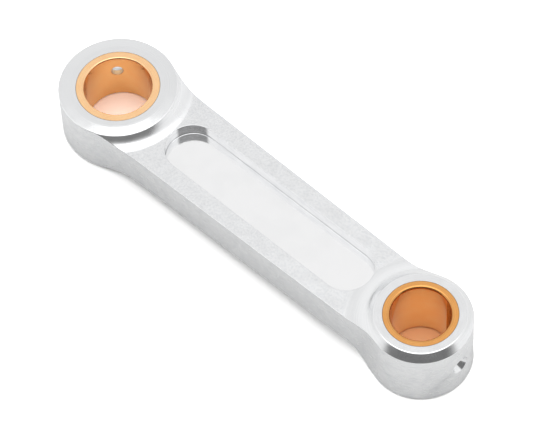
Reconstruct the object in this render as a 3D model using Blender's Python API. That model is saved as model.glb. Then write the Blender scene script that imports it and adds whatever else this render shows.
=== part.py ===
"""Connecting rod of a two-stroke model engine: an aluminium rod with two pressed-in bronze bushes.

Frame: X runs from the big end to the small end, Z runs along both bores, metres.
The origin is the centre of the rod's box, so Z = 0 is the mid-plane of the rod.
"""
import math

import bmesh
import bpy
from mathutils import Matrix, Vector

# Driving dimensions.
CENTRE_DISTANCE = 0.0415
BIG_BORE_RADIUS = 0.0035
SMALL_BORE_RADIUS = 0.0030

# Bushes.
BIG_BUSH_RADIUS = 0.0043
SMALL_BUSH_RADIUS = 0.00375
BUSH_CHAMFER = 0.0002
PRESS_FIT_GAP = 0.0003

# Big end.
BIG_END_THICKNESS = 0.0061
BIG_END_RADIUS = 0.00615
BIG_BOSS_RADIUS = 0.00606
BIG_COVE_RUNOUT = 0.00776

# Small end. Its upper boss is turned narrower than the end itself. Its lower boss is turned
# wider than the end, so the end's own round wall runs down to the lower face.
SMALL_END_THICKNESS = 0.0075
SMALL_END_RADIUS = 0.00525
SMALL_UPPER_BOSS_RADIUS = 0.0046
SMALL_LOWER_BOSS_RADIUS = 0.0054
SMALL_COVE_RUNOUT = 0.00776

# Shank.
SHANK_THICKNESS = 0.00415
SHANK_HALF_WIDTH = 0.00497
SHANK_TAPER = 0.0129
BIG_BLEND_RADIUS = 0.020
SMALL_BLEND_RADIUS = 0.012

# Pocket, one in each face of the shank.
POCKET_HALF_WIDTH = 0.0028
POCKET_START = 0.0105
POCKET_END = 0.0317
POCKET_DEPTH = 0.0014
POCKET_FLOOR_RADIUS = 0.0001

# Oil holes. The big end's slants down and out. The small end's lies along the rod, and opens
# into a cone at the outer wall.
BIG_HOLE_RADIUS = 0.00062
BIG_HOLE_BEARING = math.radians(138)
BIG_HOLE_SLANT = math.radians(25)
BIG_HOLE_HEIGHT = 0.0009
SMALL_HOLE_RADIUS = 0.0003
SMALL_CONE_RADIUS = 0.0010
SMALL_CONE_DEPTH = 0.0011
SMALL_HOLE_HEIGHT = -0.0002

# Mesh fineness.
ROUND_STEPS = 72
HOLE_STEPS = 24
COVE_STEPS = 7
BLEND_STEPS = 8
OVERRUN = 0.002
WELD_DISTANCE = 0.000002

BIG_END_X = -(CENTRE_DISTANCE + SMALL_END_RADIUS - BIG_END_RADIUS) / 2
SMALL_END_X = BIG_END_X + CENTRE_DISTANCE
BIG_AXIS = Vector((BIG_END_X, 0, 0))
SMALL_AXIS = Vector((SMALL_END_X, 0, 0))


def clear_scene():
    for item in list(bpy.data.objects):
        bpy.data.objects.remove(item, do_unlink=True)


def material(name, colour, metallic, roughness):
    made = bpy.data.materials.new(name)
    made.use_nodes = True
    shader = made.node_tree.nodes["Principled BSDF"]
    shader.inputs["Base Color"].default_value = (*colour, 1)
    shader.inputs["Metallic"].default_value = metallic
    shader.inputs["Roughness"].default_value = roughness
    return made


def new_object(name, mesh_builder):
    """Makes an object from a bmesh and leaves its faces pointing out."""
    bmesh.ops.recalc_face_normals(mesh_builder, faces=mesh_builder.faces)
    mesh = bpy.data.meshes.new(name)
    mesh_builder.to_mesh(mesh)
    mesh_builder.free()
    made = bpy.data.objects.new(name, mesh)
    bpy.context.collection.objects.link(made)
    return made


def hidden(cutter):
    cutter.hide_render = True
    cutter.display_type = "WIRE"
    return cutter


def prism(name, outline, low, high):
    """A closed outline in XY, extruded from Z = low to Z = high."""
    builder = bmesh.new()
    face = builder.faces.new([builder.verts.new((x, y, low)) for x, y in outline])
    grown = bmesh.ops.extrude_face_region(builder, geom=[face])
    raised = [item for item in grown["geom"] if isinstance(item, bmesh.types.BMVert)]
    bmesh.ops.translate(builder, verts=raised, vec=(0, 0, high - low))
    return new_object(name, builder)


def turned(name, profile, axis):
    """A closed (radius, height) profile spun about the vertical line through axis.

    The spin starts half a facet off +X, so that no seam of it meets an edge of the outline.
    """
    builder = bmesh.new()
    first = math.pi / ROUND_STEPS
    points = [
        builder.verts.new(axis + Vector((radius * math.cos(first), radius * math.sin(first), height)))
        for radius, height in profile
    ]
    edges = [builder.edges.new(pair) for pair in zip(points, points[1:] + points[:1])]
    bmesh.ops.spin(
        builder,
        geom=points + edges,
        cent=axis,
        axis=(0, 0, 1),
        angle=math.tau,
        steps=ROUND_STEPS,
        use_merge=True,
    )
    bmesh.ops.remove_doubles(builder, verts=builder.verts, dist=1e-7)
    return new_object(name, builder)


def rod_drill(name, radius, start, direction, length, end_radius=None):
    """A round cutter from start along direction, straight or widening to end_radius.

    It is turned by half a facet about its own axis, so that no edge of it meets a wall's edge.
    """
    builder = bmesh.new()
    turn = Vector(direction).to_track_quat("Z", "Y").to_matrix().to_4x4()
    turn @= Matrix.Rotation(math.pi / HOLE_STEPS, 4, "Z")
    middle = Vector(start) + Vector(direction).normalized() * length / 2
    bmesh.ops.create_cone(
        builder,
        cap_ends=True,
        segments=HOLE_STEPS,
        radius1=radius,
        radius2=end_radius or radius,
        depth=length,
        matrix=Matrix.Translation(middle) @ turn,
    )
    return hidden(new_object(name, builder))


def boolean(target, other, operation):
    step = target.modifiers.new(other.name, "BOOLEAN")
    step.object = other
    step.operation = operation
    step.solver = "EXACT"
    hidden(other)


def finish(made, surface, smooth_angle=35):
    """Welds the seams that the cuts leave, and gives the surface its shading."""
    weld = made.modifiers.new("weld", "WELD")
    weld.merge_threshold = WELD_DISTANCE
    made.data.materials.append(surface)
    made.data.shade_smooth()
    made.data.set_sharp_from_angle(angle=math.radians(smooth_angle))


def blend(end_radius, axis_x, toward, blend_radius):
    """Centre and end angles of the arc that joins an end's circle to the shank's side.

    The arc touches the circle of end_radius and the shank's tapered side. It lies on the
    +Y side of the rod, and toward is +1 or -1, the way from the end along the shank.
    """
    slope = math.atan(SHANK_TAPER)
    side_normal = Vector((math.sin(slope), math.cos(slope)))
    side_point = Vector((BIG_END_X, SHANK_HALF_WIDTH))
    height = (Vector((axis_x, 0)) - side_point).dot(side_normal)
    drop = blend_radius - height
    reach = math.sqrt((end_radius + blend_radius) ** 2 - drop ** 2)
    along = Vector((side_normal.y, -side_normal.x))
    centre = Vector((axis_x, 0)) + side_normal * drop + along * toward * reach
    to_end = Vector((axis_x, 0)) - centre
    start = math.atan2(to_end.y, to_end.x)
    stop = math.atan2(-side_normal.y, -side_normal.x)
    return centre, start, stop


def arc(centre, radius, start, stop, steps):
    """Points from angle start to angle stop, both included."""
    span = (stop - start + math.pi) % math.tau - math.pi
    return [
        (
            centre[0] + radius * math.cos(start + span * step / steps),
            centre[1] + radius * math.sin(start + span * step / steps),
        )
        for step in range(steps + 1)
    ]


def rod_outline():
    """The rod seen along its bores: two ends, and a tapered shank blended into them."""
    big_centre, big_start, big_stop = blend(BIG_END_RADIUS, BIG_END_X, 1, BIG_BLEND_RADIUS)
    small_centre, small_start, small_stop = blend(
        SMALL_END_RADIUS, SMALL_END_X, -1, SMALL_BLEND_RADIUS
    )
    big_angle = math.atan2(big_centre.y, big_centre.x - BIG_END_X)
    small_angle = math.atan2(small_centre.y, small_centre.x - SMALL_END_X)
    half_turn = ROUND_STEPS // 2
    upper = arc((BIG_END_X, 0), BIG_END_RADIUS, math.pi, big_angle, half_turn)
    upper += arc(big_centre, BIG_BLEND_RADIUS, big_start, big_stop, BLEND_STEPS)[1:]
    upper += arc(small_centre, SMALL_BLEND_RADIUS, small_stop, small_start, BLEND_STEPS)
    upper += arc((SMALL_END_X, 0), SMALL_END_RADIUS, small_angle, 0, half_turn)[1:]
    lower = [(x, -y) for x, y in reversed(upper[1:-1])]
    return upper + lower


def cove(boss_radius, boss_height, runout):
    """Radius and height pairs from the boss's edge down its cove to the shank's face."""
    shank_height = SHANK_THICKNESS / 2
    rise = boss_height - shank_height
    reach = runout - boss_radius
    curve = (reach ** 2 + rise ** 2) / (2 * rise)
    steepest = math.asin(reach / curve)
    points = []
    for step in range(COVE_STEPS):
        angle = steepest * (1 - step / COVE_STEPS)
        points.append(
            (runout - curve * math.sin(angle), shank_height + curve * (1 - math.cos(angle)))
        )
    return points


def boss_profile(top_radius, bottom_radius, thickness, runout, bore_radius):
    """Half section of one end, from the bore out to where its coves reach the shank."""
    half = thickness / 2
    sunk = SHANK_THICKNESS / 2 - 0.0001
    top = cove(top_radius, half, runout)
    bottom = cove(bottom_radius, half, runout)
    profile = [(bore_radius, half)] + top + [(runout, sunk), (runout, -sunk)]
    profile += [(radius, -height) for radius, height in reversed(bottom)]
    return profile + [(bore_radius, -half)]


def pocket_cutter(name, side):
    """A round-ended slot cutter. side is +1 for the upper face and -1 for the lower."""
    left = (BIG_END_X + POCKET_START, 0)
    right = (BIG_END_X + POCKET_END, 0)
    half_turn = ROUND_STEPS // 2
    outline = []
    for step in range(half_turn + 1):
        angle = math.pi / 2 + math.pi * step / half_turn
        outline.append((math.cos(angle), math.sin(angle), left))
    for step in range(half_turn + 1):
        angle = -math.pi / 2 + math.pi * step / half_turn
        outline.append((math.cos(angle), math.sin(angle), right))
    floor = SHANK_THICKNESS / 2 - POCKET_DEPTH
    rings = []
    builder = bmesh.new()
    for inset, height in (
        (POCKET_FLOOR_RADIUS, floor),
        (POCKET_FLOOR_RADIUS * 0.3, floor + POCKET_FLOOR_RADIUS * 0.3),
        (0, floor + POCKET_FLOOR_RADIUS),
        (0, SHANK_THICKNESS / 2 + OVERRUN),
    ):
        reach = POCKET_HALF_WIDTH - inset
        rings.append(
            [
                builder.verts.new((centre[0] + reach * x, centre[1] + reach * y, side * height))
                for x, y, centre in outline
            ]
        )
    for inner, outer in zip(rings, rings[1:]):
        for index in range(len(inner)):
            after = (index + 1) % len(inner)
            builder.faces.new((inner[index], inner[after], outer[after], outer[index]))
    builder.faces.new(rings[0])
    builder.faces.new(rings[-1])
    return hidden(new_object(name, builder))


def big_end_drill(name, radius):
    """The slanted oil hole of the big end, started inside the bore's air."""
    outward = Vector((math.cos(BIG_HOLE_BEARING), math.sin(BIG_HOLE_BEARING), 0))
    direction = outward * math.cos(BIG_HOLE_SLANT) - Vector((0, 0, math.sin(BIG_HOLE_SLANT)))
    mouth = BIG_AXIS + outward * BIG_BORE_RADIUS + Vector((0, 0, BIG_HOLE_HEIGHT))
    back = direction * 0.0016
    return rod_drill(name, radius, mouth - back, direction, 0.0080)


def small_end_drill(name, radius):
    """The oil hole in the outer wall of the small end, along the rod."""
    start = SMALL_AXIS + Vector((0, 0, SMALL_HOLE_HEIGHT))
    return rod_drill(name, radius, start, (1, 0, 0), SMALL_END_RADIUS + OVERRUN)


def small_end_cone(name):
    """The cone that opens the small end's oil hole. Its tip starts inside the hole."""
    spread = (SMALL_CONE_RADIUS - SMALL_HOLE_RADIUS) / SMALL_CONE_DEPTH
    tip_depth = SMALL_CONE_DEPTH + SMALL_HOLE_RADIUS / 2 / spread
    start = SMALL_AXIS + Vector((SMALL_END_RADIUS - tip_depth, 0, SMALL_HOLE_HEIGHT))
    end_radius = SMALL_CONE_RADIUS + OVERRUN * spread
    length = tip_depth + OVERRUN
    return rod_drill(name, SMALL_HOLE_RADIUS / 2, start, (1, 0, 0), length, end_radius)


def rod_body(surface):
    tallest = max(BIG_END_THICKNESS, SMALL_END_THICKNESS) / 2 + OVERRUN
    body = prism("rod_body", rod_outline(), -tallest, tallest)
    reach = CENTRE_DISTANCE + OVERRUN
    slab_outline = [(-reach, -reach), (reach, -reach), (reach, reach), (-reach, reach)]
    envelope = prism("envelope", slab_outline, -SHANK_THICKNESS / 2, SHANK_THICKNESS / 2)
    big_housing = BIG_BUSH_RADIUS + PRESS_FIT_GAP / 2
    small_housing = SMALL_BUSH_RADIUS + PRESS_FIT_GAP / 2
    big_boss = turned(
        "big_boss",
        boss_profile(BIG_BOSS_RADIUS, BIG_BOSS_RADIUS, BIG_END_THICKNESS, BIG_COVE_RUNOUT, 0.001),
        BIG_AXIS,
    )
    small_boss = turned(
        "small_boss",
        boss_profile(
            SMALL_UPPER_BOSS_RADIUS,
            SMALL_LOWER_BOSS_RADIUS,
            SMALL_END_THICKNESS,
            SMALL_COVE_RUNOUT,
            0.001,
        ),
        SMALL_AXIS,
    )
    boolean(envelope, big_boss, "UNION")
    boolean(envelope, small_boss, "UNION")
    boolean(body, envelope, "INTERSECT")
    depth = 2 * tallest + 2 * OVERRUN
    for name, radius, axis in (
        ("big_housing_bore", big_housing, BIG_AXIS),
        ("small_housing_bore", small_housing, SMALL_AXIS),
    ):
        builder = bmesh.new()
        bmesh.ops.create_cone(
            builder,
            cap_ends=True,
            segments=ROUND_STEPS,
            radius1=radius,
            radius2=radius,
            depth=depth,
            matrix=Matrix.Translation(axis),
        )
        boolean(body, new_object(name, builder), "DIFFERENCE")
    boolean(body, pocket_cutter("upper_pocket", 1), "DIFFERENCE")
    boolean(body, pocket_cutter("lower_pocket", -1), "DIFFERENCE")
    boolean(body, big_end_drill("big_end_oil_hole", BIG_HOLE_RADIUS), "DIFFERENCE")
    boolean(body, small_end_drill("small_end_oil_hole", SMALL_HOLE_RADIUS), "DIFFERENCE")
    boolean(body, small_end_cone("small_end_oil_cone"), "DIFFERENCE")
    finish(body, surface)
    return body


def bush(name, bore_radius, outer_radius, thickness, axis, drill, surface):
    """A plain bush with both bore mouths chamfered and one oil hole."""
    half = thickness / 2
    outer = outer_radius - PRESS_FIT_GAP / 2
    profile = [
        (bore_radius + BUSH_CHAMFER, half),
        (outer, half),
        (outer, -half),
        (bore_radius + BUSH_CHAMFER, -half),
        (bore_radius, -half + BUSH_CHAMFER),
        (bore_radius, half - BUSH_CHAMFER),
    ]
    made = turned(name, profile, axis)
    boolean(made, drill, "DIFFERENCE")
    finish(made, surface)
    return made


def main():
    clear_scene()
    aluminium = material("satin_aluminium", (0.82, 0.82, 0.81), 1.0, 0.32)
    bronze = material("bearing_bronze", (0.80, 0.42, 0.16), 1.0, 0.30)
    body = rod_body(aluminium)
    big_bush = bush(
        "big_end_bush",
        BIG_BORE_RADIUS,
        BIG_BUSH_RADIUS,
        BIG_END_THICKNESS,
        BIG_AXIS,
        big_end_drill("big_bush_oil_hole", BIG_HOLE_RADIUS),
        bronze,
    )
    small_bush = bush(
        "small_end_bush",
        SMALL_BORE_RADIUS,
        SMALL_BUSH_RADIUS,
        SMALL_END_THICKNESS,
        SMALL_AXIS,
        small_end_drill("small_bush_oil_hole", SMALL_HOLE_RADIUS),
        bronze,
    )
    rod = bpy.data.objects.new("connecting_rod", None)
    bpy.context.collection.objects.link(rod)
    for piece in (body, big_bush, small_bush):
        piece.parent = rod


main()
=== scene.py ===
"""Looks of the connecting rod: fine surfaces for its three pieces, metals, studio and camera.

Lengths are in millimetres until a mesh is written, which is in metres.
"""
import math

import bpy
import numpy as np
from mathutils import Matrix, Vector
from mathutils.geometry import delaunay_2d_cdt


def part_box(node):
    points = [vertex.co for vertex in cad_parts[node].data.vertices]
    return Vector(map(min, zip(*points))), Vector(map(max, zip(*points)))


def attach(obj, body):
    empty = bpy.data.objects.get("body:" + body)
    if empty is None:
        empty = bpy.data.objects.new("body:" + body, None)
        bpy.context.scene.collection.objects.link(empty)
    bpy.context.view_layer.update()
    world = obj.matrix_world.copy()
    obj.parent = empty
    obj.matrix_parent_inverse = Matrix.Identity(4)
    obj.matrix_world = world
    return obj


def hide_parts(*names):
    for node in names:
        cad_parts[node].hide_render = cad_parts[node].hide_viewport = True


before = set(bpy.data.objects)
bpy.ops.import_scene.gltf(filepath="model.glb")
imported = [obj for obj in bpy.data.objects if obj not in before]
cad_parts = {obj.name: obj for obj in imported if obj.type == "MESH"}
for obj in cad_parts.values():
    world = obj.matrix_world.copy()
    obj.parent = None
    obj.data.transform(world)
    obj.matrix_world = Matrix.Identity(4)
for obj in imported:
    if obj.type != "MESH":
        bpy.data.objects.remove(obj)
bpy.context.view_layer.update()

MM = 0.001


def corners(node):
    """Lowest and highest corner of a CAD node, in millimetres."""
    low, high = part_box(node)
    return np.array(low) / MM, np.array(high) / MM


# Places and sizes read from the frame.
ROD_LOW, ROD_HIGH = corners("rod_body")
BIG_LOW, BIG_HIGH = corners("big_end_bush")
SMALL_LOW, SMALL_HIGH = corners("small_end_bush")
BIG_X = (BIG_LOW[0] + BIG_HIGH[0]) / 2
SMALL_X = (SMALL_LOW[0] + SMALL_HIGH[0]) / 2
BIG_HALF = BIG_HIGH[2]
SMALL_HALF = SMALL_HIGH[2]
BIG_RADIUS = BIG_X - ROD_LOW[0]
SMALL_RADIUS = ROD_HIGH[0] - SMALL_X

# The press fit: the CAD solids keep a wide gap round each bush, which here is a fine line.
# The big bush's ring is a little wider than its CAD solid with half the gap round it.
CAD_GAP = 0.3
FIT_GAP = 0.03
BIG_RING_EXTRA = 0.03
BIG_FIT = (BIG_HIGH[0] - BIG_LOW[0]) / 2 + CAD_GAP / 2 + BIG_RING_EXTRA
SMALL_FIT = (SMALL_HIGH[0] - SMALL_LOW[0]) / 2 + CAD_GAP / 2
BIG_BORE = 3.5
SMALL_BORE = 3.0

# The design's other dimensions, as in the CAD model.
SHANK_HALF = 4.15 / 2
SHANK_HALF_WIDTH = 4.97
SHANK_TAPER = 0.0129
BIG_BLEND = 20.0
SMALL_BLEND = 12.0
COVE_RUNOUT = 7.76
BIG_BOSS = 6.06
SMALL_UPPER_BOSS = 4.6
SMALL_LOWER_BOSS = 5.4
POCKET_HALF_WIDTH = 2.8
POCKET_START = BIG_X + 10.5
POCKET_END = BIG_X + 31.7
POCKET_DEPTH = 1.4
BIG_HOLE_RADIUS = 0.62
BIG_HOLE_BEARING = math.radians(138)
BIG_HOLE_SLANT = math.radians(25)
BIG_HOLE_HEIGHT = 0.9
SMALL_HOLE_RADIUS = 0.3
SMALL_HOLE_HEIGHT = -0.2
SMALL_CONE_SPREAD = 0.7
SMALL_CONE_DEPTH = 1.1

# The big end's faces fall off towards their edge: the slope grows from ROLLED_START to
# ROLLED_END, and stays from there on.
ROLLED_START = 4.75
ROLLED_END = 5.2
ROLLED_SLOPE = math.tan(math.radians(6))

# Edge breaks.
WALL_EDGE = 0.05
BIG_BOSS_EDGE = 0.04
SMALL_BOSS_EDGE = 0.12
MOUTH_EDGE = 0.12
BORE_MOUTH_EDGE = 0.05
FIT_EDGE = 0.02
POCKET_EDGE = 0.06
POCKET_FLOOR_RADIUS = 0.08
BIG_LIP = 0.2
SMALL_LIP = 0.3

# Fineness.
RING_POINTS = 256
BIG_ARC_STEPS = 110
SMALL_ARC_STEPS = 100
BLEND_ARC_STEPS = 24
SIDE_STEPS = 60
POCKET_TURN_STEPS = 56
POCKET_SIDE_STEPS = 48
EDGE_STEPS = 4
WIDE_EDGE_STEPS = 5
LIP_STEPS = 10
ROLLED_RINGS = 6
COVE_RINGS = 16
HOLE_POINTS = 40
HALVINGS = 40
WELD_DIGITS = 5


# ---------------------------------------------------------------- mesh building

class Skin:
    """One closed surface, gathered from patches that share their border points.

    Every face corner keeps the surface's true normal, so curved surfaces shade smoothly and
    edges stay crisp.
    """

    def __init__(self, name):
        self.name = name
        self.points = []
        self.normals = []
        self.faces = []
        self.slots = []

    def add(self, points, normals, faces, slot):
        first = len(self.points)
        self.points += [tuple(point) for point in points]
        self.normals += [tuple(normal) for normal in normals]
        self.faces += [[first + index for index in face] for face in faces]
        self.slots += [slot] * len(faces)

    def strip(self, rows, normals, slot, closed=True):
        """Quads between neighbouring rows of points."""
        rows = np.asarray(rows, float)
        normals = np.asarray(normals, float)
        count, width = rows.shape[:2]
        faces = []
        for row in range(count - 1):
            for column in range(width if closed else width - 1):
                after = (column + 1) % width
                faces.append(
                    (
                        row * width + column,
                        row * width + after,
                        (row + 1) * width + after,
                        (row + 1) * width + column,
                    )
                )
        self.add(rows.reshape(-1, 3), normals.reshape(-1, 3), faces, slot)

    def fill(self, outer, holes, extra, lift, slot, margin=0.012):
        """Triangles over a flat region with holes, lifted onto the real surface.

        The extra points are used where they are inside and no nearer to a border than margin.
        """
        loops = [np.asarray(outer, float)] + [np.asarray(hole, float) for hole in holes]
        border = np.vstack(loops)
        kept = []
        if len(extra):
            extra = np.asarray(extra, float)
            good = within(extra, loops[0])
            for hole in loops[1:]:
                good &= ~within(extra, hole)
            extra = extra[good]
            kept = [point for point in extra if np.hypot(*(border - point).T).min() > margin]
        flat = np.vstack([border, np.array(kept)]) if len(kept) else border
        edges = []
        first = 0
        for loop in loops:
            size = len(loop)
            edges += [(first + index, first + (index + 1) % size) for index in range(size)]
            first += size
        made = delaunay_2d_cdt([Vector(point) for point in flat], edges, [], 0, 1e-6)
        source = [origins[0] for origins in made[3]]
        faces = np.array([[source[index] for index in face] for face in made[2]])
        middles = flat[faces].mean(axis=1)
        good = within(middles, loops[0])
        for hole in loops[1:]:
            good &= ~within(middles, hole)
        points, normals = lift(flat)
        self.add(points, normals, faces[good].tolist(), slot)

    def finish(self, materials):
        """Welds the patches, turns every face outward and makes the object."""
        points = np.array(self.points)
        normals = np.array(self.normals)
        normals /= np.linalg.norm(normals, axis=1)[:, None]
        keys = {}
        shared = []
        for point in np.round(points, WELD_DIGITS):
            shared.append(keys.setdefault(tuple(point + 0.0), len(keys)))
        welded = np.zeros((len(keys), 3))
        welded[shared] = points
        faces = []
        slots = []
        corner_normals = []
        for face, slot in zip(self.faces, self.slots):
            ids = []
            seen = []
            for index in face:
                if shared[index] not in ids:
                    ids.append(shared[index])
                    seen.append(index)
            if len(ids) < 3:
                continue
            ring = welded[ids]
            spread = ring - ring[0]
            area = sum(np.cross(spread[i], spread[i + 1]) for i in range(1, len(ring) - 1))
            if area @ normals[seen].sum(axis=0) < 0:
                ids.reverse()
                seen.reverse()
            faces.append(ids)
            slots.append(slot)
            corner_normals += [tuple(normals[index]) for index in seen]
        mesh = bpy.data.meshes.new(self.name)
        mesh.from_pydata((welded * MM).tolist(), [], faces)
        mesh.polygons.foreach_set("material_index", slots)
        mesh.shade_smooth()
        mesh.normals_split_custom_set(corner_normals)
        for material in materials:
            mesh.materials.append(material)
        made = bpy.data.objects.new(self.name, mesh)
        bpy.context.collection.objects.link(made)
        return made


def within(points, loop):
    """Which points lie inside a closed loop."""
    x, y = points[:, 0], points[:, 1]
    result = np.zeros(len(points), bool)
    for (x1, y1), (x2, y2) in zip(loop, np.roll(loop, -1, axis=0)):
        if y1 == y2:
            continue
        crosses = (y1 > y) != (y2 > y)
        result ^= crosses & (x < (x2 - x1) * (y - y1) / (y2 - y1) + x1)
    return result


def turn(angles):
    return np.stack([np.cos(angles), np.sin(angles)], axis=-1)


def unit(vectors):
    return vectors / np.linalg.norm(vectors, axis=-1, keepdims=True)


def rounded(start, corner, stop, steps=EDGE_STEPS):
    """Rows of points along a rounded edge, and the direction in which each row goes on."""
    rows = []
    ways = []
    for step in range(steps + 1):
        t = step / steps
        rows.append((1 - t) ** 2 * start + 2 * t * (1 - t) * corner + t ** 2 * stop)
        ways.append((1 - t) * (corner - start) + t * (stop - corner))
    return np.array(rows), unit(np.array(ways))


def strip_normals(rows, ways, outward):
    """Normals of closed rows from their run, the way on to the next row, and a rough outside."""
    runs = np.roll(rows, -1, axis=1) - np.roll(rows, 1, axis=1)
    normals = unit(np.cross(runs, ways))
    facing = np.sum(normals * outward, axis=-1, keepdims=True)
    return np.where(facing < 0, -normals, normals)


# ---------------------------------------------------------------- the rod's shape

def arc(centre, radius, start, stop, count, outside):
    """Points of an arc and their normals, which point away from its centre if outside is 1."""
    ways = turn(np.linspace(start, stop, count + 1))
    return np.array(centre) + radius * ways, ways * outside


def blend_arc(end_radius, axis_x, toward, radius):
    """The arc that joins an end's round wall to the shank's side: its centre and end angles."""
    slope = math.atan(SHANK_TAPER)
    across = np.array([math.sin(slope), math.cos(slope)])
    along = np.array([across[1], -across[0]])
    offset = (np.array([axis_x, 0]) - np.array([BIG_X, SHANK_HALF_WIDTH])) @ across
    drop = radius - offset
    reach = math.sqrt((end_radius + radius) ** 2 - drop ** 2)
    centre = np.array([axis_x, 0]) + across * drop + along * toward * reach
    to_end = np.array([axis_x, 0]) - centre
    return centre, math.atan2(to_end[1], to_end[0]), math.atan2(-across[1], -across[0])


def nearest_turn(start, stop):
    """The angle equal to stop that is reached from start by the shorter way."""
    return start + (stop - start + math.pi) % math.tau - math.pi


def rod_outline():
    """The rod's outline, from the big end's outermost point round and back, with normals."""
    big_centre, big_start, big_stop = blend_arc(BIG_RADIUS, BIG_X, 1, BIG_BLEND)
    small_centre, small_start, small_stop = blend_arc(SMALL_RADIUS, SMALL_X, -1, SMALL_BLEND)
    big_angle = math.atan2(big_centre[1], big_centre[0] - BIG_X)
    small_angle = math.atan2(small_centre[1], small_centre[0] - SMALL_X)
    big_turn = nearest_turn(big_start, big_stop)
    small_turn = nearest_turn(small_stop, small_start)
    runs = [
        arc((BIG_X, 0), BIG_RADIUS, math.pi, big_angle, BIG_ARC_STEPS, 1),
        arc(big_centre, BIG_BLEND, big_start, big_turn, BLEND_ARC_STEPS, -1),
        arc(small_centre, SMALL_BLEND, small_stop, small_turn, BLEND_ARC_STEPS, -1),
        arc((SMALL_X, 0), SMALL_RADIUS, small_angle, 0, SMALL_ARC_STEPS, 1),
    ]
    side_start, side_stop = runs[1][0][-1], runs[2][0][0]
    shares = np.linspace(0, 1, SIDE_STEPS + 1)[1:-1, None]
    side = side_start + (side_stop - side_start) * shares
    side_normals = np.repeat(runs[1][1][-1:], len(side), axis=0)
    points = np.vstack([runs[0][0], runs[1][0][1:], side, runs[2][0], runs[3][0][1:]])
    normals = np.vstack([runs[0][1], runs[1][1][1:], side_normals, runs[2][1], runs[3][1][1:]])
    mirror = np.array([1, -1])
    points = np.vstack([points, points[-2:0:-1] * mirror])
    normals = np.vstack([normals, normals[-2:0:-1] * mirror])
    return points, normals


OUTLINE, OUTLINE_NORMALS = rod_outline()
STEPS_ROUND = np.hypot(*(np.roll(OUTLINE, -1, axis=0) - OUTLINE).T)
RUN = np.concatenate([[0], np.cumsum(STEPS_ROUND)])


class Boss:
    """One turned end face and the cove round it, which runs out into the shank.

    rolled is 1 if the face falls off towards its edge, and 0 if it is flat. curve is the
    cove's radius. edge_radius is where the face and the cove meet.
    """

    def __init__(self, axis_x, edge_radius, half, edge, rolled):
        self.axis_x = axis_x
        self.half = half
        self.edge = edge
        self.rolled = rolled
        rise = half - SHANK_HALF
        reach = COVE_RUNOUT - edge_radius
        self.curve = (reach ** 2 + rise ** 2) / (2 * rise)
        low, high = edge_radius, COVE_RUNOUT
        for _ in range(HALVINGS):
            middle = (low + high) / 2
            if self.top(middle)[0] < self.cove(middle)[0]:
                low = middle
            else:
                high = middle
        self.edge_radius = high

    def top(self, radius):
        """Height and fall of the face."""
        width = ROLLED_END - ROLLED_START
        past = np.clip((radius - ROLLED_START) / width, 0, 1) * self.rolled
        beyond = np.maximum(radius - ROLLED_END, 0) * self.rolled
        return self.half - ROLLED_SLOPE * (width * past ** 2 / 2 + beyond), ROLLED_SLOPE * past

    def cove(self, radius):
        """Height and fall of the cove."""
        reach = np.clip(COVE_RUNOUT - radius, 0, 0.99 * self.curve)
        deep = np.sqrt(self.curve ** 2 - reach ** 2)
        return SHANK_HALF + self.curve - deep, reach / deep

    def surface(self, radius):
        """Height and fall at a radius, with the edge between face and cove rounded."""
        on_top = radius <= self.edge_radius
        height, fall = (
            np.where(on_top, flat, curved) for flat, curved in zip(self.top(radius), self.cove(radius))
        )
        rows, row_heights, row_falls = self.edge_rows()
        inside = (radius >= rows[0] - 1e-9) & (radius <= rows[-1] + 1e-9)
        height[inside] = np.interp(radius[inside], rows, row_heights)
        fall[inside] = np.interp(radius[inside], rows, row_falls)
        return height, fall

    def edge_rows(self):
        """Radius, height and fall of the rounded edge between the face and the cove."""
        inner = self.edge_radius - self.edge
        steep = math.atan(float(self.cove(self.edge_radius)[1]))
        outer = self.edge_radius + self.edge * math.cos(steep)
        start = np.array([inner, float(self.top(inner)[0])])
        corner = np.array([self.edge_radius, float(self.top(self.edge_radius)[0])])
        stop = np.array([outer, float(self.cove(outer)[0])])
        rows, ways = rounded(start, corner, stop, WIDE_EDGE_STEPS)
        falls = -ways[:, 1] / ways[:, 0]
        falls[0] = float(self.top(inner)[1])
        falls[-1] = float(self.cove(outer)[1])
        return rows[:, 0], rows[:, 1], falls


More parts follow.
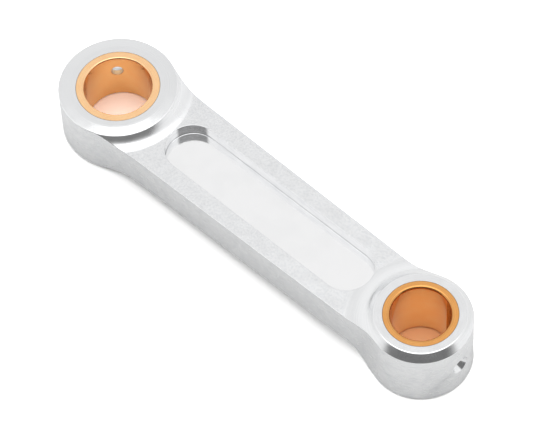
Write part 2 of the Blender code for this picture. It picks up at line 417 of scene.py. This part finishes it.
class Face:
    """The rod's upper or lower surface, as a height over the plan."""

    def __init__(self, side):
        self.side = side
        small_edge = SMALL_UPPER_BOSS if side > 0 else SMALL_LOWER_BOSS
        self.bosses = (
            Boss(BIG_X, BIG_BOSS, BIG_HALF, BIG_BOSS_EDGE, 1),
            Boss(SMALL_X, small_edge, SMALL_HALF, SMALL_BOSS_EDGE, 0),
        )

    def lift(self, plan):
        """Points on the surface over points of the plan, and the surface's normals there."""
        plan = np.asarray(plan, float)
        heights = np.full(len(plan), SHANK_HALF)
        slopes = np.zeros((len(plan), 2))
        for boss in self.bosses:
            offset = plan - [boss.axis_x, 0]
            radius = np.hypot(*offset.T)
            near = radius < COVE_RUNOUT
            height, fall = boss.surface(radius)
            heights[near] = height[near]
            slopes[near] = (offset / np.maximum(radius, 1e-9)[:, None] * fall[:, None])[near]
        points = np.column_stack([plan, self.side * heights])
        normals = unit(np.column_stack([slopes, np.full(len(plan), self.side)]))
        return points, normals

    def rings(self):
        """Plan points along the turned rings of both bosses."""
        made = []
        angles = np.linspace(0, math.tau, RING_POINTS, endpoint=False)
        past_roll = 0.7 * ROLLED_END + 0.3 * BIG_BOSS
        roll = np.append(np.linspace(ROLLED_START, ROLLED_END, ROLLED_RINGS), past_roll)
        for boss in self.bosses:
            row_radius = boss.edge_rows()[0]
            cove = COVE_RUNOUT - (COVE_RUNOUT - row_radius[-1]) * np.linspace(1, 0, COVE_RINGS)
            for radius in np.concatenate([roll if boss.rolled else [], row_radius, cove[1:]]):
                made.append(np.array([boss.axis_x, 0]) + radius * turn(angles))
        return np.vstack(made)


def wall_lift(domain):
    """Points of the outer wall from their run along the outline and their height."""
    run = domain[:, 0]
    closed = np.vstack([OUTLINE, OUTLINE[:1]])
    closed_normals = np.vstack([OUTLINE_NORMALS, OUTLINE_NORMALS[:1]])
    x, y = (np.interp(run, RUN, closed[:, axis]) for axis in (0, 1))
    nx, ny = (np.interp(run, RUN, closed_normals[:, axis]) for axis in (0, 1))
    return (
        np.column_stack([x, y, domain[:, 1]]),
        unit(np.column_stack([nx, ny, np.zeros(len(run))])),
    )


def cylinder_lift(axis_x, radius, sign):
    """A lift for a round wall about a bore axis. sign is -1 where the wall faces the axis."""

    def lift(domain):
        ways = turn(domain[:, 0] / radius)
        points = np.column_stack([axis_x + radius * ways[:, 0], radius * ways[:, 1], domain[:, 1]])
        return points, np.column_stack([sign * ways, np.zeros(len(ways))])

    return lift


class Drill:
    """A straight oil hole, from its mouth in a bore out through the round walls.

    bearing is its compass direction and slant its fall. mouth is where its axis leaves the
    bore, at height. side and up span its cross-section.
    """

    def __init__(self, axis_x, bore, bearing, slant, height, radius):
        self.axis = np.array([axis_x, 0.0])
        self.radius = radius
        outward = np.array([math.cos(bearing), math.sin(bearing), 0])
        self.way = outward * math.cos(slant) - np.array([0, 0, math.sin(slant)])
        self.mouth = np.array([axis_x, 0, height]) + outward * bore
        self.side = np.array([-math.sin(bearing), math.cos(bearing), 0])
        self.up = np.cross(self.side, self.way)
        self.bearing = bearing

    def rays(self, grow=0.0):
        """Starting points of the lines along the hole's wall, and their way out from its axis."""
        ways = turn(np.linspace(0, math.tau, HOLE_POINTS, endpoint=False))
        out = ways[:, :1] * self.side + ways[:, 1:] * self.up
        return self.mouth + (self.radius + grow) * out, out

    def unrolled(self, radius, grow=0.0):
        """Where the hole crosses a round wall, in that wall's plane: its run and its height."""
        start, _ = self.rays(grow)
        flat = start[:, :2] - self.axis
        a = self.way[:2] @ self.way[:2]
        b = flat @ self.way[:2]
        c = np.sum(flat ** 2, axis=1) - radius ** 2
        reach = (-b + np.sqrt(b ** 2 - a * c)) / a
        points = start + reach[:, None] * self.way
        flat = points[:, :2] - self.axis
        angles = np.arctan2(flat[:, 1], flat[:, 0])
        angles = self.bearing + (angles - self.bearing + math.pi) % math.tau - math.pi
        return np.column_stack([angles * radius, points[:, 2]])


BIG_DRILL = Drill(
    BIG_X, BIG_BORE, BIG_HOLE_BEARING, BIG_HOLE_SLANT, BIG_HOLE_HEIGHT, BIG_HOLE_RADIUS
)
SMALL_DRILL = Drill(SMALL_X, SMALL_BORE, 0.0, 0.0, SMALL_HOLE_HEIGHT, SMALL_HOLE_RADIUS)


def round_wall(skin, drill, axis_x, radius, half, sign, slot, grow=0.0):
    """A round wall with an oil hole through it, cut open opposite the hole to lay it flat.

    sign is -1 where the wall faces the bore's axis. Returns the hole's rim.
    """
    seam = drill.bearing - math.pi
    angles = seam + np.linspace(0, math.tau, RING_POINTS + 1)
    low = np.column_stack([angles * radius, np.full(len(angles), -half)])
    high = np.column_stack([angles * radius, np.full(len(angles), half)])
    outer = np.vstack([low, high[::-1]])
    hole = drill.unrolled(radius, grow)
    lift = cylinder_lift(axis_x, radius, sign)
    skin.fill(outer, [hole], [], lift, slot)
    return lift(hole)[0]


def ring(axis_x, radius, height, bearing):
    """Points round a bore axis, in step with the round wall of the hole at bearing."""
    ways = turn(bearing - math.pi + np.linspace(0, math.tau, RING_POINTS, endpoint=False))
    return np.column_stack(
        [axis_x + radius * ways[:, 0], radius * ways[:, 1], np.full(len(ways), height)]
    )


def tunnel(skin, near, far, drill, slot):
    """The wall of an oil hole between two round walls."""
    _, out = drill.rays()
    skin.strip([near, far], [-out, -out], slot)


def hole_edge(skin, drill, axis_x, radius, deeper, rim, slot):
    """The rounded edge of an oil hole, from its rim on a round wall to deeper inside."""
    corner = cylinder_lift(axis_x, radius, 1)(drill.unrolled(radius))[0]
    foot = cylinder_lift(axis_x, deeper, 1)(drill.unrolled(deeper))[0]
    rows, onward = rounded(rim, corner, foot)
    level = (rim - [axis_x, 0, 0]) * [1, 1, 0] * np.sign(radius - deeper)
    _, out = drill.rays()
    skin.strip(rows, strip_normals(rows, onward, unit(level) - out), slot)
    return foot


def cone(skin, drill, axis_x, radius, depth, rim, slot):
    """The cone from its rim on a round wall down to the oil hole, at depth below the wall."""
    foot = cylinder_lift(axis_x, radius - depth, 1)(drill.unrolled(radius - depth))[0]
    rows = np.array([rim, foot])
    _, out = drill.rays()
    ways = unit(np.array([foot - rim, foot - rim]))
    skin.strip(rows, strip_normals(rows, ways, np.array([-out, -out])), slot)
    return foot


def stadium(offset):
    """The pocket's outline, grown by offset, with its outward normals."""
    half_turn = POCKET_TURN_STEPS
    straight = POCKET_SIDE_STEPS
    left = np.array([POCKET_START, 0])
    right = np.array([POCKET_END, 0])
    left_ways = turn(np.linspace(math.pi / 2, 1.5 * math.pi, half_turn + 1))
    right_ways = turn(np.linspace(-math.pi / 2, math.pi / 2, half_turn + 1))
    shares = np.linspace(0, 1, straight + 1)[1:-1, None]
    down = np.array([0, -1])
    lower = left + (right - left) * shares
    upper = right + (left - right) * shares
    centres = np.vstack(
        [np.repeat([left], half_turn + 1, 0), lower, np.repeat([right], half_turn + 1, 0), upper]
    )
    ways = np.vstack(
        [
            left_ways,
            np.repeat([down], len(lower), 0),
            right_ways,
            np.repeat([-down], len(upper), 0),
        ]
    )
    return centres + (POCKET_HALF_WIDTH + offset) * ways, ways


def pocket(skin, face, slots):
    """The walls and floor of the pocket in one face. Returns its border in plan."""
    side = face.side
    border, ways = stadium(POCKET_EDGE)
    top = face.lift(border)[0]
    corner = face.lift(stadium(0)[0])[0]
    drop = np.array([0, 0, -side * POCKET_EDGE])
    rows, onward = rounded(top, corner, corner + drop)
    inward = np.column_stack([-ways, np.full(len(ways), side)])
    skin.strip(rows, strip_normals(rows, onward, inward), slots["edge"])
    floor = SHANK_HALF - POCKET_DEPTH
    foot = corner.copy()
    foot[:, 2] = side * (floor + POCKET_FLOOR_RADIUS)
    level = np.column_stack([-ways, np.zeros(len(ways))])
    skin.strip([corner + drop, foot], [level, level], slots["pocket_wall"])
    low = foot.copy()
    low[:, 2] = side * floor
    inset = np.column_stack([stadium(-POCKET_FLOOR_RADIUS)[0], np.full(len(ways), side * floor)])
    rows, onward = rounded(foot, low, inset, WIDE_EDGE_STEPS)
    skin.strip(rows, strip_normals(rows, onward, inward), slots["pocket_wall"])

    def lift(plan):
        count = len(plan)
        return (
            np.column_stack([plan, np.full(count, side * floor)]),
            np.tile([0, 0, side], (count, 1)),
        )

    skin.fill(inset[:, :2], [], [], lift, slots["floor"])
    return border


def rod_surface(materials):
    """The aluminium rod as one closed surface."""
    slots = {key: index for index, key in enumerate(materials)}
    skin = Skin("aluminium_rod")
    wall_rows = {}
    for side in (1, -1):
        face = Face(side)
        inset = OUTLINE - OUTLINE_NORMALS * WALL_EDGE
        stop = face.lift(inset)[0]
        corner = face.lift(OUTLINE)[0]
        start = corner - np.array([0, 0, side * WALL_EDGE])
        rows, onward = rounded(start, corner, stop)
        outward = np.column_stack([OUTLINE_NORMALS, np.full(len(OUTLINE), side)])
        skin.strip(rows, strip_normals(rows, onward, outward), slots["edge"])
        wall_rows[side] = start[:, 2]
        holes = [pocket(skin, face, slots)]
        for boss, fit, drill in zip(face.bosses, (BIG_FIT, SMALL_FIT), (BIG_DRILL, SMALL_DRILL)):
            radius = fit + FIT_GAP / 2
            height = side * boss.half
            mouth = ring(boss.axis_x, radius + FIT_EDGE, height, drill.bearing)
            rim = ring(boss.axis_x, radius, height, drill.bearing)
            lip = rim - [0, 0, side * FIT_EDGE]
            edge_rows, edge_ways = rounded(mouth, rim, lip)
            toward = np.column_stack(
                [boss.axis_x - rim[:, 0], -rim[:, 1], np.full(len(rim), side * radius)]
            )
            skin.strip(edge_rows, strip_normals(edge_rows, edge_ways, toward), slots["edge"])
            holes.append(mouth[:, :2])
        skin.fill(inset, holes, face.rings(), face.lift, slots["face"])
    low, high = (np.append(wall_rows[side], wall_rows[side][0]) for side in (-1, 1))
    outer = np.vstack([np.column_stack([RUN, low]), np.column_stack([RUN, high])[::-1]])
    half_run = RUN[-1] / 2
    big_hole = BIG_DRILL.unrolled(BIG_RADIUS, MOUTH_EDGE)
    big_hole[:, 0] = math.pi * BIG_RADIUS - big_hole[:, 0]
    small_hole = SMALL_DRILL.unrolled(SMALL_RADIUS, SMALL_CONE_SPREAD)
    small_hole[:, 0] = half_run - small_hole[:, 0]
    skin.fill(outer, [big_hole, small_hole], [], wall_lift, slots["wall"])
    big_rim = wall_lift(big_hole)[0]
    small_rim = wall_lift(small_hole)[0]
    big_deeper = BIG_RADIUS - MOUTH_EDGE
    feet = (
        hole_edge(skin, BIG_DRILL, BIG_X, BIG_RADIUS, big_deeper, big_rim, slots["edge"]),
        cone(skin, SMALL_DRILL, SMALL_X, SMALL_RADIUS, SMALL_CONE_DEPTH, small_rim, slots["cone"]),
    )
    for boss_x, half, fit, drill, foot in (
        (BIG_X, BIG_HALF, BIG_FIT, BIG_DRILL, feet[0]),
        (SMALL_X, SMALL_HALF, SMALL_FIT, SMALL_DRILL, feet[1]),
    ):
        radius = fit + FIT_GAP / 2
        near = round_wall(skin, drill, boss_x, radius, half - FIT_EDGE, -1, slots["edge"])
        tunnel(skin, near, foot, drill, slots["hole"])
    return skin.finish(materials.values())


def bush_surface(name, axis_x, fit, bore, half, lip, drill, materials):
    """A turned bush with rounded bore edges and its oil hole."""
    slots = {key: index for index, key in enumerate(materials)}
    skin = Skin(name)
    outer = fit - FIT_GAP / 2
    around = turn(drill.bearing - math.pi + np.linspace(0, math.tau, RING_POINTS, endpoint=False))
    for side in (1, -1):
        level = side * half
        stations = np.array([(outer, 0), (outer, level), (bore, level), (bore, 0)])
        ways = unit(np.diff(stations, axis=0))
        profile = []
        for index, cut, steps in ((1, FIT_EDGE, EDGE_STEPS), (2, lip, LIP_STEPS)):
            start = stations[index] - ways[index - 1] * cut
            stop = stations[index] + ways[index] * cut
            profile += list(zip(*rounded(start, stations[index], stop, steps)))
        split = EDGE_STEPS + 1
        for key, part in (("face", profile[: split + 1]), ("lip", profile[split:])):
            rows = [ring(axis_x, radius, height, drill.bearing) for (radius, height), _ in part]
            normals = []
            for _, (out, up) in part:
                rise = np.full(len(around), -side * out)
                normals.append(np.column_stack([around * side * up, rise]))
            skin.strip(rows, normals, slots[key])
    rim = round_wall(skin, drill, axis_x, bore, half - lip, -1, slots["bore"], BORE_MOUTH_EDGE)
    near = hole_edge(skin, drill, axis_x, bore, bore + BORE_MOUTH_EDGE, rim, slots["lip"])
    far = round_wall(skin, drill, axis_x, outer, half - FIT_EDGE, 1, slots["face"])
    tunnel(skin, near, far, drill, slots["hole"])
    return skin.finish(materials.values())


# ---------------------------------------------------------------- materials


class Recipe:
    """A node material under construction, in millimetres of the part's own frame."""

    def __init__(self, name):
        self.material = bpy.data.materials.new(name)
        self.material.use_nodes = True
        self.tree = self.material.node_tree
        self.shader = self.tree.nodes["Principled BSDF"]
        coordinates = self.add("ShaderNodeTexCoord")
        scaled = self.vector("MULTIPLY", coordinates.outputs["Object"], (1000, 1000, 1000))
        self.place = scaled
        split = self.add("ShaderNodeSeparateXYZ")
        self.link(scaled, split.inputs[0])
        self.x, self.y, self.z = split.outputs

    def add(self, kind, **settings):
        node = self.tree.nodes.new(kind)
        for key, value in settings.items():
            setattr(node, key, value)
        return node

    def link(self, source, target):
        if hasattr(source, "is_output"):
            self.tree.links.new(source, target)
        else:
            target.default_value = source

    def math(self, operation, first, second=0.0, third=0.0):
        node = self.add("ShaderNodeMath", operation=operation)
        for value, socket in zip((first, second, third), node.inputs):
            self.link(value, socket)
        return node.outputs[0]

    def vector(self, operation, first, second):
        node = self.add("ShaderNodeVectorMath", operation=operation)
        self.link(first, node.inputs[0])
        self.link(second, node.inputs[1])
        return node.outputs[0]

    def combine(self, x, y, z):
        node = self.add("ShaderNodeCombineXYZ")
        for value, socket in zip((x, y, z), node.inputs):
            self.link(value, socket)
        return node.outputs[0]

    def ramp(self, value, low, high, out_low, out_high):
        node = self.add("ShaderNodeMapRange", interpolation_type="SMOOTHSTEP")
        for item, socket in zip((value, low, high, out_low, out_high), node.inputs):
            self.link(item, socket)
        return node.outputs[0]

    def noise(self, place, scale, detail=3.0, roughness=0.5):
        node = self.add("ShaderNodeTexNoise")
        self.link(place, node.inputs["Vector"])
        node.inputs["Scale"].default_value = scale
        node.inputs["Detail"].default_value = detail
        node.inputs["Roughness"].default_value = roughness
        return node.outputs["Fac"]

    def blend(self, factor, first, second):
        node = self.add("ShaderNodeMix", data_type="FLOAT")
        for item, socket in zip((factor, first, second), (node.inputs[i] for i in (0, 2, 3))):
            self.link(item, socket)
        return node.outputs[0]

    def tint(self, factor, first, second):
        node = self.add("ShaderNodeMix", data_type="RGBA")
        self.link(factor, node.inputs[0])
        node.inputs[6].default_value = (*first, 1)
        node.inputs[7].default_value = (*second, 1)
        return node.outputs[2]

    def radius(self, axis_x):
        """Distance from a bore axis."""
        across = self.math("SUBTRACT", self.x, axis_x)
        squares = self.math("ADD", self.math("POWER", across, 2), self.math("POWER", self.y, 2))
        return self.math("SQRT", squares)

    def finish(self, colour, roughness, height, depth):
        """Links the look to the shader. depth is the relief's height in millimetres."""
        self.shader.inputs["Metallic"].default_value = 1.0
        self.link(colour, self.shader.inputs["Base Color"])
        self.link(roughness, self.shader.inputs["Roughness"])
        bump = self.add("ShaderNodeBump")
        bump.inputs["Strength"].default_value = 1.0
        bump.inputs["Distance"].default_value = depth * MM
        self.link(height, bump.inputs["Height"])
        self.link(bump.outputs[0], self.shader.inputs["Normal"])
        return self.material


ALUMINIUM = (0.84, 0.845, 0.85)
ALUMINIUM_DULL = (0.74, 0.75, 0.765)
POLISHED_ALUMINIUM = (0.96, 0.96, 0.965)
STAINED_ALUMINIUM = (0.90, 0.905, 0.91)
BOSS_ROUGHNESS = 0.165
BIG_COVE_ROUGHNESS = 0.29
SMALL_COVE_ROUGHNESS = 0.22

# Bronze, light and deep, on the faces and in the bore. Both bushes are one bronze: the big faces'
# lighter colour is painted light and the small faces' deeper colour is painted shade.
BIG_BRONZE_PAINTED_LIGHT = ((0.95, 0.62, 0.34), (0.91, 0.55, 0.28))
BIG_BORE_BRONZE = ((1.0, 0.58, 0.24), (0.97, 0.52, 0.2))
SMALL_BRONZE_PAINTED_SHADE = ((0.71, 0.35, 0.115), (0.65, 0.30, 0.09))
SMALL_BORE_BRONZE = ((1.0, 0.54, 0.2), (0.96, 0.48, 0.16))


def face_aluminium():
    """Turned end faces and coves with fine rings, and a shank milled to a fine grain."""
    recipe = Recipe("turned_aluminium")
    big = recipe.radius(BIG_X)
    small = recipe.radius(SMALL_X)
    nearest = recipe.math("MINIMUM", big, small)
    turned = recipe.ramp(nearest, COVE_RUNOUT - 0.3, COVE_RUNOUT + 0.1, 1.0, 0.0)
    rings = recipe.noise(recipe.combine(nearest, 0.0, 0.0), 9.0, 4.0, 0.7)
    grain = recipe.noise(recipe.place, 4.5, 5.0, 0.75)
    patches = recipe.noise(recipe.place, 0.9, 3.0)
    height = recipe.blend(turned, grain, rings)
    on_big = recipe.ramp(big, BIG_BOSS - 0.05, BIG_BOSS + 0.05, 1.0, 0.0)
    on_small = recipe.ramp(small, SMALL_UPPER_BOSS - 0.05, SMALL_UPPER_BOSS + 0.05, 1.0, 0.0)
    on_boss = recipe.math("MAXIMUM", on_big, on_small)
    beyond_small = recipe.ramp(small, 7.0, 8.0, 0.0, 1.0)
    cove_rough = recipe.blend(beyond_small, SMALL_COVE_ROUGHNESS, BIG_COVE_ROUGHNESS)
    turned_rough = recipe.blend(on_boss, cove_rough, BOSS_ROUGHNESS)
    rough = recipe.blend(turned, recipe.ramp(grain, 0.3, 0.7, 0.17, 0.25), turned_rough)
    rough = recipe.math("ADD", rough, recipe.ramp(patches, 0.3, 0.7, -0.03, 0.03))
    dull = recipe.ramp(grain, 0.38, 0.66, 0.0, 1.0)
    dull = recipe.blend(turned, dull, recipe.ramp(rings, 0.35, 0.7, 0.0, 0.7))
    colour = recipe.tint(dull, ALUMINIUM, ALUMINIUM_DULL)
    return recipe.finish(colour, rough, height, depth=0.0004)


def plain_aluminium(name, stretch, scale, smooth, coarse, depth):
    """Aluminium with marks that run along a direction where stretch is small, or along none."""
    recipe = Recipe(name)
    marks = recipe.noise(recipe.vector("MULTIPLY", recipe.place, stretch), scale, 4.0, 0.6)
    patches = recipe.noise(recipe.place, 0.8, 2.0)
    rough = recipe.ramp(marks, 0.3, 0.7, smooth, coarse)
    dull = recipe.math("MULTIPLY", recipe.ramp(patches, 0.35, 0.75, 0.0, 1.0), 0.5)
    dull = recipe.math("ADD", dull, recipe.ramp(marks, 0.4, 0.7, 0.0, 0.6))
    colour = recipe.tint(dull, ALUMINIUM, ALUMINIUM_DULL)
    return recipe.finish(colour, rough, marks, depth)


def floor_aluminium():
    """The pocket's floor, swept by an end mill that left faint overlapping arcs."""
    recipe = Recipe("milled_pocket_floor")
    mill_radius = 3.0
    square = recipe.math("POWER", recipe.y, 2)
    sweep = recipe.math("SQRT", recipe.math("SUBTRACT", mill_radius ** 2, square))
    travel = recipe.math("SUBTRACT", recipe.x, sweep)
    arcs = recipe.noise(recipe.combine(travel, 0.0, 0.0), 5.0, 3.0, 0.6)
    stains = recipe.noise(recipe.place, 0.45, 3.0)
    rough = recipe.ramp(arcs, 0.3, 0.7, 0.08, 0.16)
    stained = recipe.ramp(stains, 0.4, 0.7, 0.0, 0.35)
    colour = recipe.tint(stained, POLISHED_ALUMINIUM, STAINED_ALUMINIUM)
    return recipe.finish(colour, rough, arcs, depth=0.0003)


def bronze(name, light, deep, axis_x, smooth, coarse, bore=False):
    """Bronze with turning marks: rings on the faces, and fine lines round the bore."""
    recipe = Recipe(name)
    course = recipe.z if bore else recipe.radius(axis_x)
    marks = recipe.noise(recipe.combine(course, 0.0, 0.0), 7.0, 4.0, 0.6)
    cloud = recipe.noise(recipe.place, 0.7, 3.0)
    rough = recipe.ramp(marks, 0.3, 0.7, smooth, coarse)
    clouded = recipe.ramp(cloud, 0.35, 0.7, 0.0, 0.6)
    marked = recipe.ramp(marks, 0.3, 0.8, 0.0, 0.4)
    colour = recipe.tint(recipe.math("ADD", clouded, marked), light, deep)
    return recipe.finish(colour, rough, marks, depth=0.0008)


def rod_materials():
    """The rod's finishes.

    A plain one has the stretch of its marks, their scale, the lowest and the highest
    roughness, and the depth of its relief.
    """
    made = {"face": face_aluminium(), "floor": floor_aluminium()}
    for key, name, look in (
        ("edge", "edge_aluminium", ((1, 1, 1), 3.0, 0.18, 0.26, 0.0006)),
        ("wall", "wall_aluminium", ((0.25, 0.25, 1), 6.0, 0.26, 0.36, 0.0010)),
        ("pocket_wall", "pocket_wall_aluminium", ((0.15, 0.15, 1), 4.0, 0.07, 0.2, 0.003)),
        ("cone", "countersunk_aluminium", ((1, 1, 1), 4.0, 0.16, 0.24, 0.0006)),
        ("hole", "drilled_aluminium", ((1, 1, 1), 6.0, 0.35, 0.5, 0.002)),
    ):
        made[key] = plain_aluminium(name, *look)
    return made


def bush_materials(end, axis_x, light, deep, bore):
    """A bush's finishes, each with its lowest and its highest roughness."""
    return {
        "face": bronze(end + "_bronze_face", light, deep, axis_x, 0.24, 0.34),
        "lip": bronze(end + "_bronze_lip", light, deep, axis_x, 0.2, 0.3),
        "bore": bronze(end + "_bronze_bore", *bore, axis_x, 0.14, 0.24, bore=True),
        "hole": bronze(end + "_bronze_hole", light, deep, axis_x, 0.3, 0.4),
    }


# ---------------------------------------------------------------- the pieces

rod = rod_surface(rod_materials())
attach(rod, "root")
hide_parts("rod_body")

big_bush = bush_surface(
    "big_bronze_bush",
    BIG_X,
    BIG_FIT,
    BIG_BORE,
    BIG_HALF,
    BIG_LIP,
    BIG_DRILL,
    # Its faces carry the lighter bronze, which is painted light.
    bush_materials("big", BIG_X, *BIG_BRONZE_PAINTED_LIGHT, BIG_BORE_BRONZE),
)
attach(big_bush, "root")
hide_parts("big_end_bush")

small_bush = bush_surface(
    "small_bronze_bush",
    SMALL_X,
    SMALL_FIT,
    SMALL_BORE,
    SMALL_HALF,
    SMALL_LIP,
    SMALL_DRILL,
    # Its faces carry the deeper bronze, which is painted shade.
    bush_materials("small", SMALL_X, *SMALL_BRONZE_PAINTED_SHADE, SMALL_BORE_BRONZE),
)
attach(small_bush, "root")
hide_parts("small_end_bush")


# ---------------------------------------------------------------- studio

# The paper is brighter than its colour alone makes it. Outside the rod, the extra is only as the
# camera sees it. In each bore the paper carries painted light: the values are the painted extra for
# all light, the further painted extra as the camera sees it, and the tint of painted bounce light
# from the bronze.
PAPER_DARKER = (0.94, 0.94, 0.935)
PAPER_LIGHTER = (0.955, 0.955, 0.95)
OPEN_FLOOR_SHARE = 0.85
BIG_BORE_PAINTED_LIGHT = (0.16, 0.42, (1.0, 0.92, 0.88))
SMALL_BORE_PAINTED_LIGHT = (0.24, 0.2, (0.96, 0.62, 0.36))
UNDER_WALL = (1.5, 0.5)


def paper():
    """White paper, lit up round the rod as on a light table. Under the bores it carries painted light:
    brighter, and tinted by painted bounce light from the bronze.
    """
    recipe = Recipe("white_paper")
    fibres = recipe.noise(recipe.place, 0.2, 3.0)
    in_big, in_small = (
        recipe.ramp(
            recipe.radius(axis_x), radius - UNDER_WALL[0], radius - UNDER_WALL[1], 1.0, 0.0
        )
        for axis_x, radius in ((BIG_X, BIG_RADIUS), (SMALL_X, SMALL_RADIUS))
    )
    open_floor = recipe.math("SUBTRACT", 1.0, recipe.math("ADD", in_big, in_small))
    seen = recipe.add("ShaderNodeLightPath").outputs["Is Camera Ray"]
    share = recipe.math("MULTIPLY", recipe.math("MULTIPLY", open_floor, seen), OPEN_FLOOR_SHARE)
    colour = recipe.tint(fibres, PAPER_DARKER, PAPER_LIGHTER)
    # Under each bore the paper is painted brighter and tinted with painted bounce light from the
    # bronze.
    for inside, extra, seen_extra, painted_bronze_bounce in (
        (in_big, *BIG_BORE_PAINTED_LIGHT),
        (in_small, *SMALL_BORE_PAINTED_LIGHT),
    ):
        lit = recipe.math("ADD", recipe.math("MULTIPLY", seen, seen_extra), extra)
        share = recipe.math("ADD", share, recipe.math("MULTIPLY", inside, lit))
        tinted = recipe.tint(recipe.math("MULTIPLY", inside, seen), (1, 1, 1), painted_bronze_bounce)
        colour = recipe.vector("MULTIPLY", colour, tinted)
    both = recipe.add("ShaderNodeAddShader")
    for index, strength in enumerate((1.0, share)):
        sheet = recipe.add("ShaderNodeBsdfDiffuse")
        scaled = recipe.add("ShaderNodeVectorMath", operation="SCALE")
        recipe.link(colour, scaled.inputs[0])
        recipe.link(strength, scaled.inputs["Scale"])
        recipe.link(scaled.outputs[0], sheet.inputs["Color"])
        recipe.link(sheet.outputs[0], both.inputs[index])
    recipe.link(both.outputs[0], recipe.tree.nodes["Material Output"].inputs["Surface"])
    recipe.tree.nodes.remove(recipe.shader)
    return recipe.material


# The rod lies on its unequal ends, so the floor slopes a little in the part's frame.
FLOOR_SLOPE = (SMALL_HALF - BIG_HALF) / (SMALL_X - SMALL_RADIUS - ROD_LOW[0])
FLOOR_CLEARANCE = 0.01
FLOOR_REACH = 1.5


def floor_height(x):
    return -BIG_HALF - FLOOR_SLOPE * (x - ROD_LOW[0]) - FLOOR_CLEARANCE


floor_mesh = bpy.data.meshes.new("studio_floor")
floor_mesh.from_pydata(
    [
        (x * FLOOR_REACH, y * FLOOR_REACH, floor_height(x * FLOOR_REACH / MM) * MM)
        for x, y in ((-1, -1), (1, -1), (1, 1), (-1, 1))
    ],
    [],
    [(0, 1, 2, 3)],
)
floor = bpy.data.objects.new("studio_floor", floor_mesh)
bpy.context.collection.objects.link(floor)
floor_mesh.materials.append(paper())

# The camera: where it stands as seen from the part, and how it is turned. Metres from here on.
AIM = Vector((0.0005, 0.0008, 0.0))
CAMERA_AZIMUTH = math.radians(46.22)
CAMERA_ELEVATION = math.radians(56.53)
CAMERA_DISTANCE = 0.3485
CAMERA_ROLL = math.radians(3.634)
CAMERA_LENS = 226.66
CAMERA_SHIFT = (0.0044, -0.0163)

toward_camera = Vector((math.sin(CAMERA_AZIMUTH), -math.cos(CAMERA_AZIMUTH), 0))
back = toward_camera * math.cos(CAMERA_ELEVATION) + Vector((0, 0, math.sin(CAMERA_ELEVATION)))
camera_data = bpy.data.cameras.new("camera")
camera_data.lens = CAMERA_LENS
camera_data.shift_x, camera_data.shift_y = CAMERA_SHIFT
camera_data.clip_start = 0.01
camera = bpy.data.objects.new("camera", camera_data)
turned = (-back).to_track_quat("-Z", "Y").to_matrix().to_4x4()
camera.matrix_world = (
    Matrix.Translation(AIM + back * CAMERA_DISTANCE)
    @ turned
    @ Matrix.Rotation(-CAMERA_ROLL, 4, "Z")
)
bpy.context.collection.objects.link(camera)
bpy.context.scene.camera = camera
bpy.context.scene.view_settings.view_transform = "Standard"


def round_softbox(name, place, size, power):
    """A disc of light that faces the origin."""
    data = bpy.data.lights.new(name, "AREA")
    data.shape = "DISK"
    data.size = size
    data.energy = power
    made = bpy.data.objects.new(name, data)
    made.location = place
    made.rotation_mode = "QUATERNION"
    made.rotation_quaternion = Vector(place).to_track_quat("Z", "Y")
    bpy.context.collection.objects.link(made)


round_softbox("overhead_softbox", (0, 0, 0.8), 0.74, 1.6)


# The tent: its brightness on the far side, and at the sides and low down. Its dark opening is
# turned a little from the camera's side, and fades between two angles sideways and upwards.
TENT_FAR = 0.9
TENT_SIDES = 1.06
OPENING_LEVEL = 0.19
OPENING_TURN = math.radians(-6)
OPENING_SIDE = (math.cos(math.radians(72)), math.cos(math.radians(56)))
OPENING_TOP = (math.sin(math.radians(54)), math.sin(math.radians(64)))


def studio_world():
    """A white tent with a dark opening on the camera's side."""
    world = bpy.data.worlds.new("studio")
    world.use_nodes = True
    tree = world.node_tree
    background = tree.nodes["Background"]

    def add(kind, links, **settings):
        node = tree.nodes.new(kind)
        for key, value in settings.items():
            setattr(node, key, value)
        for index, value in links.items():
            if hasattr(value, "is_output"):
                tree.links.new(value, node.inputs[index])
            else:
                node.inputs[index].default_value = value
        return node

    def ramp(value, start, stop, first, last, kind="LINEAR"):
        links = {0: value, 1: start, 2: stop, 3: first, 4: last}
        return add("ShaderNodeMapRange", links, interpolation_type=kind).outputs[0]

    way = add("ShaderNodeTexCoord", {}).outputs["Generated"]
    height = add("ShaderNodeSeparateXYZ", {0: way}).outputs[2]
    level = add("ShaderNodeVectorMath", {0: way, 1: (1, 1, 0)}, operation="MULTIPLY").outputs[0]
    level = add("ShaderNodeVectorMath", {0: level}, operation="NORMALIZE").outputs[0]
    opening = Matrix.Rotation(OPENING_TURN, 3, "Z") @ toward_camera
    facing = add("ShaderNodeVectorMath", {0: level, 1: tuple(opening)}, operation="DOT_PRODUCT")
    facing = facing.outputs["Value"]
    sideways = ramp(facing, *OPENING_SIDE, 0.0, 1.0, "SMOOTHSTEP")
    upward = ramp(height, *OPENING_TOP, 1.0, 0.0, "SMOOTHSTEP")
    dark = add("ShaderNodeMath", {0: sideways, 1: upward}, operation="MULTIPLY").outputs[0]
    beside = ramp(facing, -1.0, 0.0, 0.0, 1.0)
    low = ramp(height, 0.75, 0.4, 0.0, 1.0)
    fuller = add("ShaderNodeMath", {0: beside, 1: low}, operation="MAXIMUM").outputs[0]
    tent = ramp(fuller, 0.0, 1.0, TENT_FAR, TENT_SIDES)
    light = add("ShaderNodeMix", {0: dark, 2: tent, 3: OPENING_LEVEL}, data_type="FLOAT")
    seen = add("ShaderNodeLightPath", {}).outputs["Is Camera Ray"]
    shown = add("ShaderNodeMix", {0: seen, 2: light.outputs[0], 3: 1.0}, data_type="FLOAT")
    tree.links.new(shown.outputs[0], background.inputs["Strength"])
    background.inputs["Color"].default_value = (1, 1, 1, 1)
    bpy.context.scene.world = world


studio_world()
